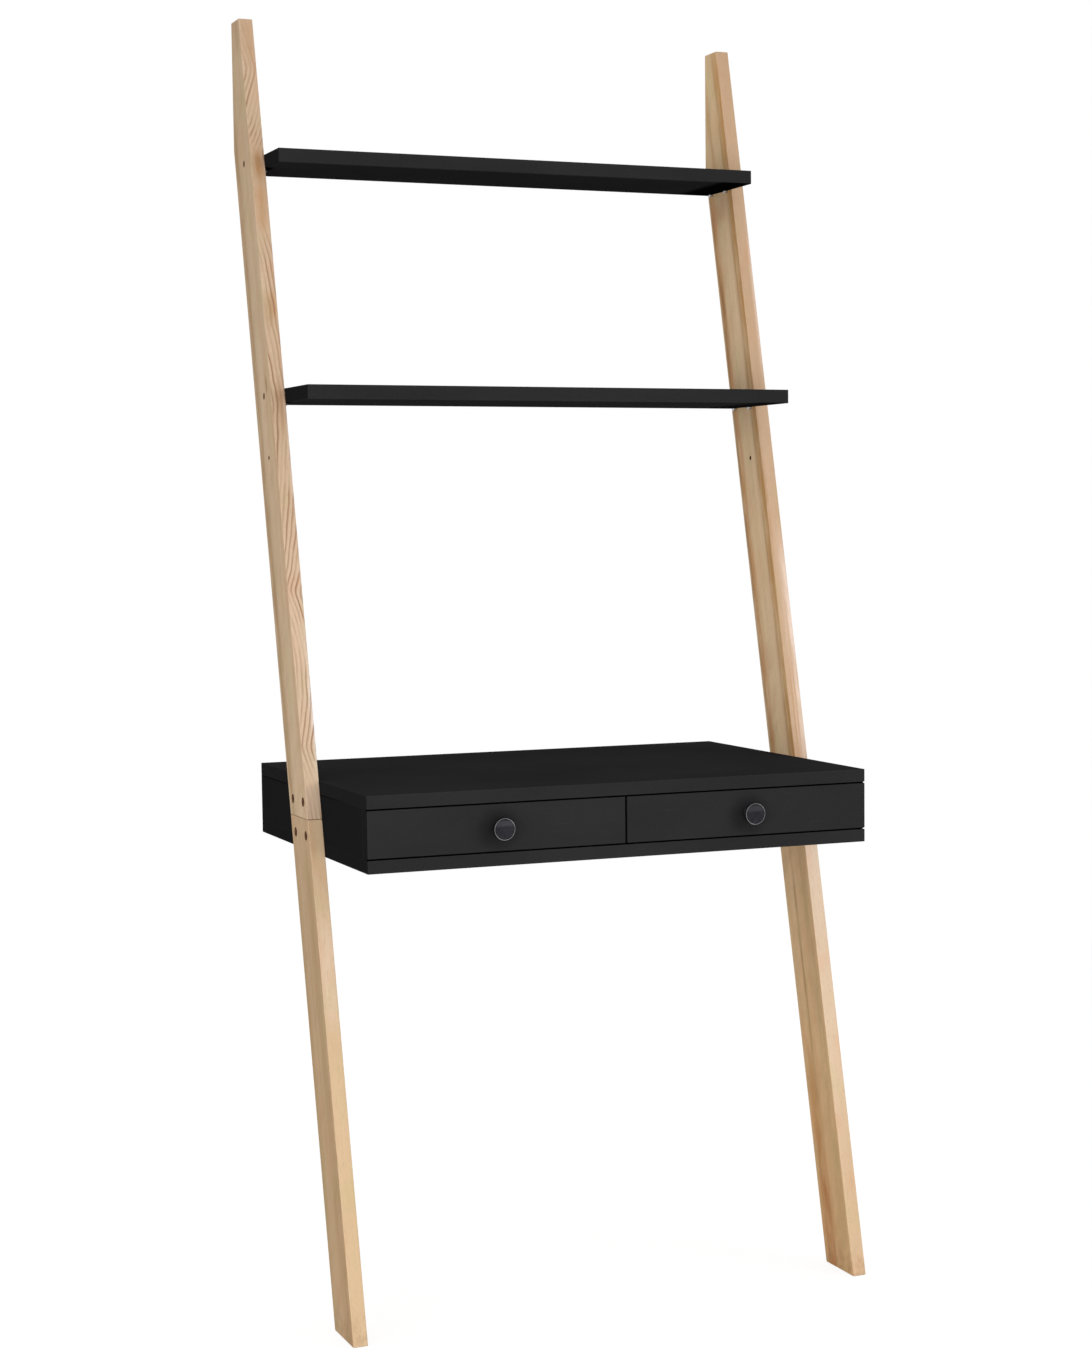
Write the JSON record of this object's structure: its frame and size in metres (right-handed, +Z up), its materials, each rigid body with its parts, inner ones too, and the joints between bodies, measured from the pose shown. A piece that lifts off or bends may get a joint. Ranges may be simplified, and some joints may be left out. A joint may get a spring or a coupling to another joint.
{
  "type": "ladder desk",
  "caption": "Leaning ladder desk: sloping wooden side rails carry shelves above a shallow black writing desk with side by side sliding drawers and round knobs.",
  "frame": {"origin": "on the floor, in the middle of the width and of the depth from the knobs to the wall", "axes": "+Z up, -Y towards the user at the drawer fronts, +Y towards the wall, +X to the user's right"},
  "size_m": [0.784, 0.54, 1.834],
  "materials": {
    "ash_wood": "clear satin oil",
    "black_lacquer": "satin black lacquer",
    "drawer_board": "dark graphite foil",
    "drawer_bottom_board": "thin dark faced board",
    "beech_dowel": "fluted, unfinished",
    "zinc_steel": "zinc plated",
    "black_bolt_steel": "browned black",
    "cam_zinc": "die cast zinc",
    "runner_steel": "cold rolled, zinc plated",
    "bearing_steel": "polished",
    "knob_metal": "dark gunmetal with a bright worn rim"
  },
  "bodies": {
    "desk_frame": {"back_panel": "black_lacquer", "base_screws": "zinc_steel", "cam_bolts": "zinc_steel", "cam_locks": "cam_zinc", "carcass_dowels": "beech_dowel", "desk_base": "black_lacquer", "desk_top": "black_lacquer", "divider_panel": "black_lacquer", "left_drawer_fixed_runner_screws": "zinc_steel", "left_drawer_inner_fixed_runner": "runner_steel", "left_drawer_outer_fixed_runner": "runner_steel", "lower_rail_left": "ash_wood", "lower_rail_right": "ash_wood", "middle_shelf": "black_lacquer", "rail_bolts": "black_bolt_steel", "rail_inserts": "zinc_steel", "rail_joint_dowels": "beech_dowel", "right_drawer_fixed_runner_screws": "zinc_steel", "right_drawer_inner_fixed_runner": "runner_steel", "right_drawer_outer_fixed_runner": "runner_steel", "shelf_pins": "zinc_steel", "shelf_screws": "black_bolt_steel", "side_panel_left": "black_lacquer", "side_panel_right": "black_lacquer", "top_shelf": "black_lacquer", "upper_rail_left": "ash_wood", "upper_rail_right": "ash_wood", "wall_bracket_screws": "zinc_steel", "wall_brackets": "black_bolt_steel"},
    "left_drawer": {"left_drawer_front": "black_lacquer", "left_drawer_box_front": "drawer_board", "left_drawer_back": "drawer_board", "left_drawer_inner_side": "drawer_board", "left_drawer_outer_side": "drawer_board", "left_drawer_bottom": "drawer_bottom_board", "left_drawer_corner_dowels": "beech_dowel", "left_drawer_knob": "knob_metal", "left_drawer_knob_screw": "zinc_steel", "left_drawer_front_screws": "zinc_steel", "left_drawer_inner_moving_runner": "runner_steel", "left_drawer_outer_moving_runner": "runner_steel", "left_drawer_moving_runner_screws": "zinc_steel"},
    "left_ball_cages": {"left_drawer_ball_cages": "bearing_steel"},
    "right_drawer": {"right_drawer_front": "black_lacquer", "right_drawer_box_front": "drawer_board", "right_drawer_back": "drawer_board", "right_drawer_inner_side": "drawer_board", "right_drawer_outer_side": "drawer_board", "right_drawer_bottom": "drawer_bottom_board", "right_drawer_corner_dowels": "beech_dowel", "right_drawer_knob": "knob_metal", "right_drawer_knob_screw": "zinc_steel", "right_drawer_front_screws": "zinc_steel", "right_drawer_inner_moving_runner": "runner_steel", "right_drawer_outer_moving_runner": "runner_steel", "right_drawer_moving_runner_screws": "zinc_steel"},
    "right_ball_cages": {"right_drawer_ball_cages": "bearing_steel"}
  },
  "joints": [
    {"name": "left_drawer_slide", "type": "slide", "parent": "desk_frame", "child": "left_drawer", "axis": [0, -1, 0], "range_m": [0, 0.28]},
    {"name": "left_cage_slide", "type": "slide", "parent": "desk_frame", "child": "left_ball_cages", "axis": [0, -1, 0], "range_m": [0, 0.14]},
    {"name": "right_drawer_slide", "type": "slide", "parent": "desk_frame", "child": "right_drawer", "axis": [0, -1, 0], "range_m": [0, 0.28]},
    {"name": "right_cage_slide", "type": "slide", "parent": "desk_frame", "child": "right_ball_cages", "axis": [0, -1, 0], "range_m": [0, 0.14]}
  ],
  "couplings": [
    {"joint": "left_cage_slide", "follows": "left_drawer_slide", "ratio": 0.5},
    {"joint": "right_cage_slide", "follows": "right_drawer_slide", "ratio": 0.5}
  ]
}
